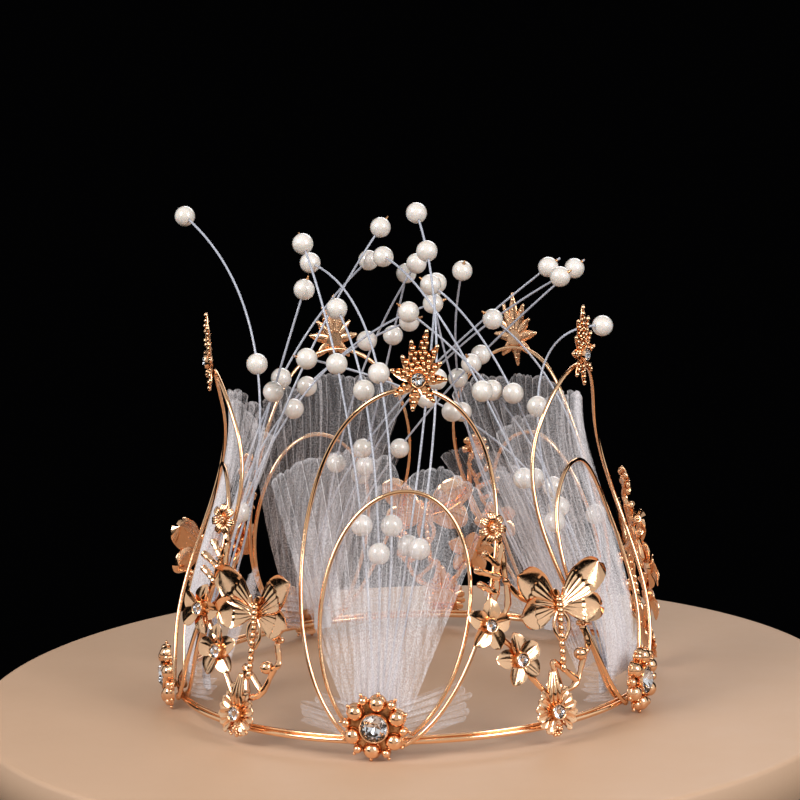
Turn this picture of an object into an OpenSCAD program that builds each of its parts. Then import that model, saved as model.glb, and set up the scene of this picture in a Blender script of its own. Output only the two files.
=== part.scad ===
// Bridal crown: a wire hoop carrying five petal-shaped wire arches, leaf and flower castings,
// butterflies, pleated tulle fans and sprays of pearls on springy stems.
// Origin: on the hoop's axis, level with the lowest ornaments. +Z is up, -Y faces forward.

/* [Hoop] */
// Radius of the hoop at the centre of its main wire
hoop_r = 75; // [72:1:78]
// Height of the main wire's centre above the surface that the crown rests on
hoop_z = 5; // [4.8:0.1:5.6]
// Thickness of the main hoop wire
hoop_wire = 1.8; // [1.6:0.1:2]
// Thickness of the thin wire that runs on top of it
thin_wire = 0.85; // [0.7:0.05:0.9]

/* [Arches] */
// Thickness of the arch wire
arch_wire = 1.3; // [1.1:0.1:1.4]
// Widest half-width of an outer arch
outer_half_w = 31; // [28:1:32]
// Widest half-width of an inner arch
inner_half_w = 23.5; // [20:0.5:25]
// How far the arches lean inwards at their tops
arch_inset = 17; // [14:1:20]

/* [Ornaments] */
// Radius of the round stone in each medallion
medallion_stone_r = 4; // [3.5:0.1:4.2]
// Radius of the ring of large balls round that stone
medallion_ball_ring_r = 7.1; // [7:0.1:7.2]
// Lean of the flower branches towards the middle, in degrees
branch_lean = 11; // [8:1:13]

/* [Tulle] */
// Thickness of the space that one pleated layer fills
tulle_t = 1.2; // [0.8:0.1:1.4]

/* [Pearls] */
// Diameter of a pearl
pearl_d = 6.6; // [6:0.1:6.8]
// Thickness of a pearl's nylon stem
stem_d = 0.7; // [0.5:0.05:0.8]

/* [Hidden] */
petals = [0:4];
petal_az = [0, 72, 144, 216, 288];
branch_az = [41, 110, 180, 251, 326];

// Per petal: heights of the two arches above the hoop, and their sideways lean in degrees
outer_h = [103, 103, 98, 98, 102];
inner_h = [72, 73, 70, 70, 72];
outer_lean = [7, 0, 4, -3, 0];
inner_lean = [8, 0, -1, 5, 0];

// Per petal: each tulle layer's angles to left and right of upright, and its reach
fan_left = [-20, -20, -20, -18, -20];
fan_right = [22, 20, 18, 24, 20];
fan_reach = [76, 88, 84, 84, 88];
back_reach = [65, 67, 65, 66, 34];
back_left = [-8, -16, -16, -15, -16];
back_right = [18, 16, 16, 17, 16];

// Pearl stems. Each is [tip, control, pearls]: the tip and the control point of a smooth bend are
// [sideways, inwards from the hoop, above the hoop], and pearls are fractions of the way along.
stems = [
    [
        [[-30, 67, 142], [-5, 27, 96], [0.32, 0.66, 0.98]],
        [[-18, 56, 122], [3, 26, 99], [0.27, 0.66, 0.98]],
        [[-31, 80, 133], [13, 33, 126], [0.25, 0.54, 0.98]],
        [[10, 85, 127], [13, 28, 81], [0.33, 0.67, 0.98]],
        [[5, 75, 150], [27, 30, 110], [0.24, 0.55, 0.86, 0.98]]
    ],
    [
        [[6, 85, 134], [-36, 39, 132], [0.29, 0.46, 0.98]],
        [[26, 16, 111], [-24, 41, 121], [0.24, 0.5, 0.98]],
        [[-2, 65, 127], [-4, 31, 110], [0.28, 0.54, 0.98]],
        [[-16, 67, 121], [12, 23, 81], [0.42, 0.7, 0.98]],
        [[-38, 93, 108], [29, 25, 82], [0.45, 0.69, 0.98]],
        [[19, 54, 114], [46, 25, 85], [0.31, 0.98]]
    ],
    [
        [[-5, 50, 99], [-2, 21, 64], [0.98]],
        [[15, 46, 122], [22, 29, 67], [0.6, 0.98]],
        [[0, 46, 129], [39, 24, 75], [0.64, 0.98]]
    ],
    [
        [[-14, 53, 128], [-18, 22, 79], [0.35, 0.77, 0.98]],
        [[-63, 82, 129], [-5, 24, 62], [0.5, 0.76, 0.98]],
        [[-52, 91, 127], [-6, 24, 85], [0.36, 0.98]],
        [[-14, 62, 132], [2, 23, 84], [0.37, 0.98]],
        [[-55, 80, 130], [18, 23, 62], [0.51, 0.7, 0.98]]
    ],
    [
        [[-19, 83, 112], [-32, 22, 93], [0.66, 0.86, 0.98]],
        [[-14, 90, 118], [-16, 28, 103], [0.53, 0.98]],
        [[-21, 70, 133], [-11, 23, 98], [0.6, 0.98]],
        [[-21, 74, 144], [-1, 31, 93], [0.98]],
        [[3, 45, 129], [7, 19, 58], [0.45, 0.75, 0.98]],
        [[-42, 10, 148], [46, 46, 118], [0.55, 0.98]]
    ]
];

stem_root = [0, 8.5, 8];
stem_pitch = 1;
binding_r = 1.1;
binding_h = 7;

medallion_z = 10.5;
medallion_back = 77.35;
plate_t = 0.9;
fan_z = 9;
outer_arch_out = 1.6;
inner_arch_out = -1.6;
tulle_front_in = 3.4;
tulle_back_in = 12;
back_lean = 30;

round_fn = 32;
bead_fn = 24;

NAMES = [
    "outer_arch", "inner_arch", "leaf", "medallion", "flower_branch", "butterfly",
    "tulle_front", "tulle_back", "pearl_stems", "pearls"
];

gold = "#e3a878";
deep_gold = "#d6955f";

// ---- shared geometry -------------------------------------------------------------------

function smooth(t) = let (c = min(1, max(0, t))) c * c * (3 - 2 * c);
function inset(h) = arch_inset * smooth((h - 12) / 75);
function unit(v) = v / norm(v);

// A point at a sideways distance and a height above the hoop, wrapped round a radius
function wrap(x, h, r) = let (a = x / r * 180 / PI) [r * sin(a), -r * cos(a), hoop_z + h];
function leaned(x, h, lean) = [x * cos(lean) + h * sin(lean), h * cos(lean) - x * sin(lean)];

// Point on an arch: u runs from the left foot at 17 degrees to the right foot at 343
function arch_point(u, half_w, high, lean, out) =
    let (
        foot = cos(17),
        h = high * (foot - cos(u)) / (1 + foot),
        x = -half_w * sin(u) * (1 - 0.15 * pow((1 + cos(u)) / 2, 1.5)),
        p = leaned(x, h, lean)
    )
    wrap(p[0], max(p[1], -0.6), hoop_r + out - inset(p[1]));

function arch_path(half_w, high, lean, out) =
    [for (k = [0:40]) arch_point(17 + 326 * k / 40, half_w, high, lean, out)];

// A round wire swept along a path that stays roughly square to the Y axis
function ring_at(path, i, r, sides) =
    let (
        last = len(path) - 1,
        t = unit(path[min(i + 1, last)] - path[max(i - 1, 0)]),
        side = unit(cross(t, [0, 1, 0])),
        up = cross(side, t)
    )
    [for (k = [0:sides - 1]) let (a = 360 * k / sides) path[i] + r * (cos(a) * side + sin(a) * up)];

module wire(path, d, sides = 8) {
    n = len(path);
    points = [for (i = [0:n - 1]) each ring_at(path, i, d / 2, sides)];
    walls = [for (i = [0:n - 2], k = [0:sides - 1])
        let (a = i * sides + k, b = i * sides + (k + 1) % sides)
        each [[a, b, a + sides], [b, b + sides, a + sides]]];
    caps = [[for (k = [sides - 1:-1:0]) k], [for (k = [0:sides - 1]) (n - 1) * sides + k]];
    polyhedron(points, concat(walls, caps), convexity = 4);
}

module at_petal(i) rotate([0, 0, petal_az[i]]) children();

// Stands a shape drawn in XY upright, facing outwards, with its own origin at radius r and height z
module face_out(r, z, lean = 0) translate([0, -r, z]) rotate([90 - lean, 0, 0]) children();

// Outline of a pointed petal from the origin along +Y
module lens(length, width) {
    side = [for (k = [0:8]) [width / 2 * sin(180 * k / 8), length * k / 8]];
    polygon(concat(side, [for (k = [7:-1:1]) [-side[k][0], side[k][1]]]));
}

// Outline of a straight twig with rounded ends
module twig(a, b, d) {
    v = b - a;
    translate(a) rotate(atan2(v[1], v[0])) translate([0, -d / 2]) square([norm(v), d]);
    for (p = [a, b]) translate(p) circle(d = d * 1.1, $fn = 12);
}

module ball(p, r) translate(p) sphere(r = r, $fn = bead_fn);

// ---- hoop and arches -------------------------------------------------------------------

module torus(r, d, z) {
    translate([0, 0, z]) rotate_extrude($fn = 96) translate([r, 0]) circle(d = d, $fn = round_fn);
}

module hoop() color(gold) torus(hoop_r, hoop_wire, hoop_z);

module hoop_top_wire() color(gold) torus(hoop_r, thin_wire, hoop_z + (hoop_wire + thin_wire) / 2);

module outer_arch(i)
    color(gold) at_petal(i)
        wire(arch_path(outer_half_w, outer_h[i], outer_lean[i], outer_arch_out), arch_wire);

module inner_arch(i)
    color(gold) at_petal(i)
        wire(arch_path(inner_half_w, inner_h[i], inner_lean[i], inner_arch_out), arch_wire);

// ---- castings --------------------------------------------------------------------------

leaf_lobes = [
    [0, 15.3], [20, 12.1], [-20, 12.1], [42, 8.9], [-42, 8.9], [80, 8.9], [-80, 8.9],
    [134, 8.6], [-134, 8.6], [180, 9.6]
];
leaf_t = 1.3;
leaf_rise = 3;

module at_leaf(i) {
    p = leaned(0, outer_h[i], outer_lean[i]);
    side = p[0] / (hoop_r - arch_inset) * 180 / PI;
    at_petal(i) rotate([0, 0, side])
        face_out(hoop_r - arch_inset + outer_arch_out + arch_wire / 2 + 0.05, hoop_z + p[1] + leaf_rise)
            rotate([0, 0, -outer_lean[i] - (i == 0 ? 5 : 0)])
                children();
}

module leaf(i) color(deep_gold) at_leaf(i) {
    linear_extrude(leaf_t) for (lobe = leaf_lobes) rotate(lobe[0]) lens(lobe[1], 3.4);
    cylinder(r = 2.6, h = leaf_t + 0.4, $fn = round_fn);
}

// A round plate that carries the stone's cup, six domes and six smaller ones between them
module medallion(i) color(gold) at_petal(i) face_out(medallion_back, medallion_z) {
    cylinder(r = 9.6, h = plate_t, $fn = round_fn);
    cylinder(r = medallion_stone_r + 0.5, h = plate_t + 1.4, $fn = round_fn);
    for (k = [0:5]) rotate([0, 0, -8 - 60 * k]) translate([0, medallion_ball_ring_r, 0])
        cylinder(r = 2.3, h = plate_t + 2.2, $fn = bead_fn);
    for (k = [0:5]) rotate([0, 0, 22 - 60 * k]) translate([0, 8.2, 0])
        cylinder(r = 1.2, h = plate_t + 1, $fn = bead_fn);
}

module at_branch(i)
    rotate([0, 0, branch_az[i]]) face_out(78.4, hoop_z, branch_lean) children();

// Each flower: centre, petals, petal length and width, turn, and radius of its stone
flowers = [
    [[0, 5], 12, 7.8, 3.6, 0, 2],
    [[-10.4, 22.2], 5, 7.4, 5, 10, 1.9],
    [[-19.7, 33.9], 5, 6.8, 4.8, -14, 1.8]
];
top_flower = [[-13.8, 61.9], 7, 3.8, 2.2, 0, 1.2];
twig_d = 1.5;

// Twigs as chains of points, in the branch's own plane
twigs = [
    [[1.5, 10], [8.7, 12.1], [12.7, 19.7], [14.8, 22.2], [13.8, 28]],
    [[8.7, 13.2], [1.5, 19.4], [2.9, 12]],
    [[-2, 10], [-8, 18]],
    [[-12, 26], [-17, 31]],
    [[-19, 37], [-15.4, 43], [-13.4, 50.6], [-11.4, 56], [-13, 60]],
    [[-11.4, 56], [-11.4, 52.8], [-11.8, 39.3], [-17, 34]],
    [[-13.4, 50.6], [-17.2, 54.4]],
    [[-14.2, 47.5], [-20.6, 50.3]],
    [[-15.4, 43], [-20.2, 45.9]],
    [[-11.6, 46], [-6.6, 40], [2, 36]]
];
buds = [[-17.2, 54.4], [-20.6, 50.3], [-20.2, 45.9], [12.4, 29.6], [13.8, 30.6], [15.4, 29.4]];

module blossom(f) translate(f[0])
    for (k = [0:f[1] - 1]) rotate(f[4] + 360 * k / f[1]) lens(f[2], f[3]);

module flower_branch(i) color(gold) at_branch(i) {
    linear_extrude(twig_d) {
        for (f = concat(flowers, [top_flower])) blossom(f);
        for (chain = twigs, k = [0:len(chain) - 2]) twig(chain[k], chain[k + 1], twig_d);
        for (p = buds) translate(p) circle(r = 1.2, $fn = 12);
    }
    for (f = flowers) translate(f[0]) cylinder(r = f[5] + 0.4, h = twig_d + 0.5, $fn = round_fn);
    ball([11, 20.6, 1.4], 2);
}

butterfly_body = [5.1, 35.8];
// Wings: direction in degrees from upright, length and width
butterfly_wings = [[54, 18.5, 8.5], [97, 15, 7], [-55, 18.5, 8.5], [-102, 14.5, 7]];

butterfly_tail = [[4.9, 31], [2.9, 15.6]];

module butterfly(i) color(gold) at_branch(i) translate([0, 0, twig_d + 0.05]) {
    translate(butterfly_body)
        linear_extrude(0.9) for (w = butterfly_wings) rotate(w[0]) lens(w[1], w[2]);
    linear_extrude(2.4) {
        translate(butterfly_body - [0, 5.5]) lens(10, 2.8);
        twig(butterfly_tail[0], butterfly_tail[1], 1.8);
    }
}

// ---- stones ----------------------------------------------------------------------------

// A cut stone standing on its own seat, table outwards
module stone(r) {
    cylinder(r1 = r * 0.8, r2 = r, h = r * 0.3, $fn = round_fn);
    translate([0, 0, r * 0.3]) cylinder(r1 = r, r2 = r * 0.55, h = r * 0.35, $fn = round_fn);
}

module medallion_stones() color("#eef4fb")
    for (i = petals) at_petal(i)
        face_out(medallion_back, medallion_z) translate([0, 0, plate_t + 1.4]) stone(medallion_stone_r);

module leaf_stones() color("#eef4fb")
    for (i = petals) at_leaf(i) translate([0, 0, leaf_t + 0.4]) stone(2);

module flower_stones() color("#eef4fb")
    for (i = petals) at_branch(i)
        for (f = flowers) translate([f[0][0], f[0][1], twig_d + 0.5]) stone(f[5]);

// ---- tulle -----------------------------------------------------------------------------

function front_in(h) = tulle_front_in + inset(h);
function back_in(h) = tulle_back_in + back_lean * pow(max(h, 0) / 70, 1.25);

function fan_point(a, reach, back, skin) =
    let (
        h = fan_z - hoop_z + reach * cos(a),
        x = reach * sin(a),
        depth = (back ? back_in(h) : front_in(h)) + skin * tulle_t / 2
    )
    wrap(x, h, hoop_r - depth);

// One pleated layer: a thin curved fan between two angles and two reaches
module fan_layer(from, to, near, far, back, across = 9, along = 7) {
    nodes = [for (skin = [-1, 1], j = [0:along], k = [0:across])
        fan_point(from + (to - from) * k / across, near + (far - near) * j / along, back, skin)];
    row = across + 1;
    skin_size = row * (along + 1);
    // The corner numbers of one skin's edge, walked all the way round
    rim = concat(
        [for (k = [0:across]) k],
        [for (j = [1:along]) j * row + across],
        [for (k = [across - 1:-1:0]) along * row + k],
        [for (j = [along - 1:-1:1]) j * row]
    );
    outer_skin = [for (j = [0:along - 1], k = [0:across - 1])
        let (a = j * row + k) each [[a, a + row, a + 1], [a + 1, a + row, a + row + 1]]];
    inner_skin = [for (f = outer_skin) [f[0], f[2], f[1]] + skin_size * [1, 1, 1]];
    edge = [for (m = [0:len(rim) - 1])
        let (a = rim[m], b = rim[(m + 1) % len(rim)])
        each [[a, b, b + skin_size], [a, b + skin_size, a + skin_size]]];
    polyhedron(nodes, concat(outer_skin, inner_skin, edge), convexity = 6);
}

module tulle_front(i) color("#d9d4de") at_petal(i) {
    fan_layer(fan_left[i], fan_right[i], 9, fan_reach[i], false);
    for (middle = [-75, 75]) fan_layer(middle - 17, middle + 17, 10, 33, false, 5, 2);
}

module tulle_back(i) color("#cfc9d6") at_petal(i)
    fan_layer(back_left[i], back_right[i], 9, back_reach[i], true);

// ---- pearl sprays ----------------------------------------------------------------------

function in_petal(p) = [p[0], p[1] - hoop_r, hoop_z + p[2]];
function stem_base(i, n) = stem_root + [(n - (len(stems[i]) - 1) / 2) * stem_pitch, 0, 0];
function stem_point(i, n, t) =
    let (s = stems[i][n])
    in_petal((1 - t) * (1 - t) * stem_base(i, n) + 2 * t * (1 - t) * s[1] + t * t * s[0]);

module pearl_stems(i) color("#dfe6f2") at_petal(i) {
    for (n = [0:len(stems[i]) - 1])
        wire([for (k = [0:13]) stem_point(i, n, k / 13)], stem_d, 6);
    span = (len(stems[i]) - 1) * stem_pitch;
    translate(in_petal(stem_root) - [0, 0, binding_h + 0.3])
        linear_extrude(binding_h) {
            square([span, 2 * binding_r], center = true);
            for (side = [-1, 1]) translate([side * span / 2, 0]) circle(r = binding_r, $fn = round_fn);
        }
}

module pearls(i) color("#f4ece0") at_petal(i)
    for (n = [0:len(stems[i]) - 1], t = stems[i][n][2])
        ball(stem_point(i, n, t), pearl_d / 2);

// ---- nodes -----------------------------------------------------------------------------

hoop();
hoop_top_wire();
medallion_stones();
leaf_stones();
flower_stones();
for (i = petals) {
    outer_arch(i);
    inner_arch(i);
    leaf(i);
    medallion(i);
    flower_branch(i);
    butterfly(i);
    tulle_front(i);
    tulle_back(i);
    pearl_stems(i);
    pearls(i);
}
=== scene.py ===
import math

import bpy
import numpy as np
from mathutils import Matrix, Quaternion, Vector


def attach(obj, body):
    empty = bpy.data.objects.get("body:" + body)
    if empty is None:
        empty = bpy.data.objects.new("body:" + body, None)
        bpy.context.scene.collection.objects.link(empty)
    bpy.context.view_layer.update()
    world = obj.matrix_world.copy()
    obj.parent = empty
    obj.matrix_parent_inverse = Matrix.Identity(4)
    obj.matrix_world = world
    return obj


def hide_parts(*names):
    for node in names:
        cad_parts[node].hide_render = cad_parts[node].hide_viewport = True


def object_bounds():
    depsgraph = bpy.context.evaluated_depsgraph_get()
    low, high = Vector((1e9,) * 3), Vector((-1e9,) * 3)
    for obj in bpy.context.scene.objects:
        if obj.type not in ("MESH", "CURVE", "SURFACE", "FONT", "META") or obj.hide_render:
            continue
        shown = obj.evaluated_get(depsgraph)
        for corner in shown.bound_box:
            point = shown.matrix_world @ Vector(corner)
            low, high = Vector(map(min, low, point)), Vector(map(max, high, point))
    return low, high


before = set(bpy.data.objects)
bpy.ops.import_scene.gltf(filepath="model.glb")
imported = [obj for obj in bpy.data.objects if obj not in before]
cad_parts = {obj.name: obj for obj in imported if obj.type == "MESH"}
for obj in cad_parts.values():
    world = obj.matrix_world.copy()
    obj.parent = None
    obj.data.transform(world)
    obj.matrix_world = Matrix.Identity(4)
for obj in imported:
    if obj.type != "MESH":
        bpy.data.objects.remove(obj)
cad_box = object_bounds()

# Bridal crown. Shapes are worked out in millimetres, in the CAD model's own frame, and become
# metres when a piece is made.
MM = 0.001

# ---- sizes that the CAD model holds too ---------------------------------------------------

HOOP_R = 75.0
HOOP_Z = 5.0
HOOP_WIRE = 1.8
THIN_WIRE = 0.85
ARCH_WIRE = 1.3
OUTER_HALF_W = 31.0
INNER_HALF_W = 23.5
ARCH_INSET = 17.0
OUTER_ARCH_OUT = 1.6
INNER_ARCH_OUT = -1.6
MEDALLION_Z = 10.5
MEDALLION_BACK = 77.35
BRANCH_BACK = 78.4
BRANCH_LEAN = 11.0
FAN_Z = 9.0
TULLE_FRONT_IN = 3.4
TULLE_BACK_IN = 12.0
BACK_LEAN = 30.0
PEARL_D = 6.6
STEM_D = 0.7

PETAL_AZ = [0, 72, 144, 216, 288]
BRANCH_AZ = [41, 110, 180, 251, 326]
OUTER_H = [103, 103, 98, 98, 102]
INNER_H = [72, 73, 70, 70, 72]
OUTER_LEAN = [7, 0, 4, -3, 0]
INNER_LEAN = [8, 0, -1, 5, 0]

FAN_LEFT = [-20, -20, -20, -18, -20]
FAN_RIGHT = [22, 20, 18, 24, 20]
FAN_REACH = [76, 88, 84, 84, 88]
BACK_REACH = [65, 67, 65, 66, 34]
BACK_LEFT = [-8, -16, -16, -15, -16]
BACK_RIGHT = [18, 16, 16, 17, 16]

# Pearl stems: [tip, control point, fractions along at which pearls sit], each point being
# [sideways, inwards from the hoop, above the hoop]
STEM_ROOT = (0, 8.5, 8)
STEM_PITCH = 1.0
STEMS = [
    [
        [[-30, 67, 142], [-5, 27, 96], [0.32, 0.66, 0.98]],
        [[-18, 56, 122], [3, 26, 99], [0.27, 0.66, 0.98]],
        [[-31, 80, 133], [13, 33, 126], [0.25, 0.54, 0.98]],
        [[10, 85, 127], [13, 28, 81], [0.33, 0.67, 0.98]],
        [[5, 75, 150], [27, 30, 110], [0.24, 0.55, 0.86, 0.98]],
    ],
    [
        [[6, 85, 134], [-36, 39, 132], [0.29, 0.46, 0.98]],
        [[26, 16, 111], [-24, 41, 121], [0.24, 0.5, 0.98]],
        [[-2, 65, 127], [-4, 31, 110], [0.28, 0.54, 0.98]],
        [[-16, 67, 121], [12, 23, 81], [0.42, 0.7, 0.98]],
        [[-38, 93, 108], [29, 25, 82], [0.45, 0.69, 0.98]],
        [[19, 54, 114], [46, 25, 85], [0.31, 0.98]],
    ],
    [
        [[-5, 50, 99], [-2, 21, 64], [0.98]],
        [[15, 46, 122], [22, 29, 67], [0.6, 0.98]],
        [[0, 46, 129], [39, 24, 75], [0.64, 0.98]],
    ],
    [
        [[-14, 53, 128], [-18, 22, 79], [0.35, 0.77, 0.98]],
        [[-63, 82, 129], [-5, 24, 62], [0.5, 0.76, 0.98]],
        [[-52, 91, 127], [-6, 24, 85], [0.36, 0.98]],
        [[-14, 62, 132], [2, 23, 84], [0.37, 0.98]],
        [[-55, 80, 130], [18, 23, 62], [0.51, 0.7, 0.98]],
    ],
    [
        [[-19, 83, 112], [-32, 22, 93], [0.66, 0.86, 0.98]],
        [[-14, 90, 118], [-16, 28, 103], [0.53, 0.98]],
        [[-21, 70, 133], [-11, 23, 98], [0.6, 0.98]],
        [[-21, 74, 144], [-1, 31, 93], [0.98]],
        [[3, 45, 129], [7, 19, 58], [0.45, 0.75, 0.98]],
        [[-42, 10, 148], [46, 46, 118], [0.55, 0.98]],
    ],
]


# ---- placing things -----------------------------------------------------------------------

def turn(degrees, axis="Z"):
    return np.array(Matrix.Rotation(math.radians(degrees), 4, axis))


def shift(x=0.0, y=0.0, z=0.0):
    matrix = np.eye(4)
    matrix[:3, 3] = (x, y, z)
    return matrix


def moved(matrix, points):
    return np.asarray(points, float) @ matrix[:3, :3].T + matrix[:3, 3]


def face_out(r, z, lean=0.0):
    """Stands a shape drawn in XY upright and facing outwards, at radius r and height z."""
    return shift(0, -r, z) @ turn(90 - lean, "X")


def smooth(t):
    c = np.clip(t, 0, 1)
    return c * c * (3 - 2 * c)


def inset(h):
    return ARCH_INSET * smooth((h - 12) / 75)


def wrap(x, h, r):
    """Points at a sideways distance and a height above the hoop, wrapped round a radius."""
    return np.stack([r * np.sin(x / r), -r * np.cos(x / r), HOOP_Z + h], axis=-1)


def leaned(x, h, lean):
    c, s = math.cos(math.radians(lean)), math.sin(math.radians(lean))
    return x * c + h * s, h * c - x * s


def at_leaf(i):
    x, h = leaned(0.0, OUTER_H[i], OUTER_LEAN[i])
    side = math.degrees(x / (HOOP_R - ARCH_INSET))
    out = HOOP_R - ARCH_INSET + OUTER_ARCH_OUT + ARCH_WIRE / 2 + 0.05
    twist = -OUTER_LEAN[i] - (5 if i == 0 else 0)
    return turn(PETAL_AZ[i] + side) @ face_out(out, HOOP_Z + h + 3) @ turn(twist)


def at_medallion(i):
    return turn(PETAL_AZ[i]) @ face_out(MEDALLION_BACK, MEDALLION_Z)


def at_branch(i):
    return turn(BRANCH_AZ[i]) @ face_out(BRANCH_BACK, HOOP_Z, BRANCH_LEAN)


# ---- closed shells: each is (points, blocks of faces) -------------------------------------

def grid_faces(rows, columns, rows_wrap=False, columns_wrap=False):
    """Quads over points numbered row by row."""
    i, j = np.meshgrid(
        np.arange(rows if rows_wrap else rows - 1),
        np.arange(columns if columns_wrap else columns - 1),
        indexing="ij",
    )
    down, right = (i + 1) % rows, (j + 1) % columns
    corners = [i * columns + j, i * columns + right, down * columns + right, down * columns + j]
    return np.stack(corners, axis=-1).reshape(-1, 4)


def loft(rings, closed=False):
    """A shell through rings of points, with end faces unless the rings come back round."""
    rings = np.asarray(rings, float)
    rows, columns = rings.shape[:2]
    blocks = [grid_faces(rows, columns, closed, True)]
    if not closed:
        ring = np.arange(columns)[None]
        blocks += [ring[:, ::-1], ring + (rows - 1) * columns]
    return rings.reshape(-1, 3), blocks


def frames_along(path, closed):
    """Tangent, side and up at each point of a path, turning as little as possible."""
    if closed:
        tangent = np.roll(path, -1, axis=0) - np.roll(path, 1, axis=0)
    else:
        tangent = np.gradient(path, axis=0)
    tangent /= np.linalg.norm(tangent, axis=1)[:, None]
    side = np.zeros_like(path)
    last = np.array([0.0, 0.0, 1.0]) if abs(tangent[0, 2]) < 0.9 else np.array([1.0, 0, 0])
    for k, t in enumerate(tangent):
        last = last - t * np.dot(last, t)
        last /= np.linalg.norm(last)
        side[k] = last
    return tangent, side, np.cross(tangent, side)


def tube(path, radius, sides=14, closed=False, grooves=0, depth=0.0, squash=1.0):
    """A round bar along a path, with domed ends; grooves cut flutes along it."""
    path = np.asarray(path, float)
    radius = np.broadcast_to(np.asarray(radius, float), len(path))
    tangent, side, up = frames_along(path, closed)
    angle = 2 * np.pi * np.arange(sides) / sides
    shape = 1 + depth * np.cos(grooves * angle)
    around = (
        (shape * np.cos(angle))[None, :, None] * side[:, None]
        + (squash * shape * np.sin(angle))[None, :, None] * up[:, None]
    )
    if closed:
        return loft(path[:, None] + radius[:, None, None] * around, True)
    rings = [path[:, None] + radius[:, None, None] * around]
    tilt = np.radians([82, 60, 35])
    start = [path[0] + radius[0] * (np.cos(a) * around[0] - np.sin(a) * tangent[0]) for a in tilt]
    end = [path[-1] + radius[-1] * (np.cos(a) * around[-1] + np.sin(a) * tangent[-1]) for a in tilt]
    return loft(np.concatenate([start, rings[0], end[::-1]]))


def rounded(points, steps=6, closed=False):
    """A Catmull-Rom curve through the points."""
    p = np.asarray(points, float)
    if p.shape[1] == 2:
        p = np.column_stack([p, np.zeros(len(p))])
    padded = np.concatenate([p[-1:], p, p[:2]]) if closed else np.concatenate(
        [2 * p[:1] - p[1:2], p, 2 * p[-1:] - p[-2:-1]]
    )
    out = []
    for k in range(len(padded) - 3):
        a, b, c, d = padded[k:k + 4]
        t = np.arange(steps)[:, None] / steps
        out.append(0.5 * (2 * b + (c - a) * t + (2 * a - 5 * b + 4 * c - d) * t**2
                          + (3 * b - a - 3 * c + d) * t**3))
    if not closed:
        out.append(p[-1:])
    return np.concatenate(out)


def lathe(profile, sides=24):
    """A turned shell: (radius, height) pairs from the foot of the axis to its top."""
    profile = np.asarray(profile, float)
    angle = 2 * np.pi * np.arange(sides) / sides
    r, z = profile[:, :1], profile[:, 1:]
    rings = np.stack([r * np.cos(angle), r * np.sin(angle), z + 0 * angle], axis=-1)
    return loft(rings)


def ball(centre, radius, flat=1.0, sides=16, rings=10):
    """A sphere, or a flatter one, standing on its own axis."""
    tilt = np.linspace(0.04, np.pi - 0.04, rings)
    profile = np.column_stack([radius * np.sin(tilt), -radius * flat * np.cos(tilt)])
    points, blocks = lathe(profile, sides)
    return points + np.asarray(centre, float), blocks


def dome_profile(r, z, high, steps=6):
    """(radius, height) pairs of a dome that stands at z."""
    a = np.radians(np.linspace(0, 88, steps))
    return np.column_stack([r * np.cos(a), z + high * np.sin(a)]).tolist()


def blade(length, width, outline, surface, thick=0.5, rows=14, columns=9):
    """A thin petal from the origin along +Y. outline(s) is its share of the half-width and
    surface(s, t) its height; s runs from root to tip and t from edge to edge."""
    s = ((1 - np.cos(np.linspace(0, np.pi, rows))) / 2)[:, None]
    t = np.linspace(-1, 1, columns)[None, :]
    x = 0.5 * width * outline(s) * t
    y = length * s + 0 * t
    z = surface(s, t)
    gap = 0.5 * thick * np.sqrt(1 - 0.85 * t**2) + 0 * s
    top = np.stack([x, y, z + gap], axis=-1)
    under = np.stack([x, y, z - gap], axis=-1)[:, ::-1]
    return loft(np.concatenate([top, under], axis=1))


class Shape:
    """Closed shells gathered into one mesh, in millimetres. part numbers the material."""

    def __init__(self):
        self.points, self.blocks, self.parts, self.count = [], [], [], 0

    def add(self, shell, place=None, part=0):
        points, blocks = shell
        points = points if place is None else moved(place, points)
        parts = part if isinstance(part, (list, tuple)) else [part] * len(blocks)
        for block, number in zip(blocks, parts):
            self.blocks.append(block + self.count)
            self.parts.append(np.full(len(block), number))
        self.points.append(points)
        self.count += len(points)


def make_piece(name, shape, materials, sharp=48):
    """Makes the object that stands for the CAD node of the same name."""
    points = np.concatenate(shape.points) * MM
    loops = np.concatenate([block.ravel() for block in shape.blocks])
    sizes = np.concatenate([np.full(len(b), b.shape[1]) for b in shape.blocks])
    mesh = bpy.data.meshes.new(name)
    mesh.vertices.add(len(points))
    mesh.vertices.foreach_set("co", points.astype(np.float32).ravel())
    mesh.loops.add(len(loops))
    mesh.loops.foreach_set("vertex_index", loops.astype(np.int32))
    mesh.polygons.add(len(sizes))
    starts = np.concatenate([[0], np.cumsum(sizes)[:-1]])
    mesh.polygons.foreach_set("loop_start", starts.astype(np.int32))
    mesh.polygons.foreach_set("material_index", np.concatenate(shape.parts).astype(np.int32))
    mesh.polygons.foreach_set("use_smooth", np.ones(len(sizes), bool))
    mesh.update(calc_edges=True)
    mesh.set_sharp_from_angle(angle=math.radians(sharp))
    for material in materials:
        mesh.materials.append(material)
    piece = bpy.data.objects.new(name + "_finish", mesh)
    bpy.context.scene.collection.objects.link(piece)
    return piece


def stands_for(piece, node, body):
    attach(piece, body)
    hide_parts(node)


# ---- materials ----------------------------------------------------------------------------

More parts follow.
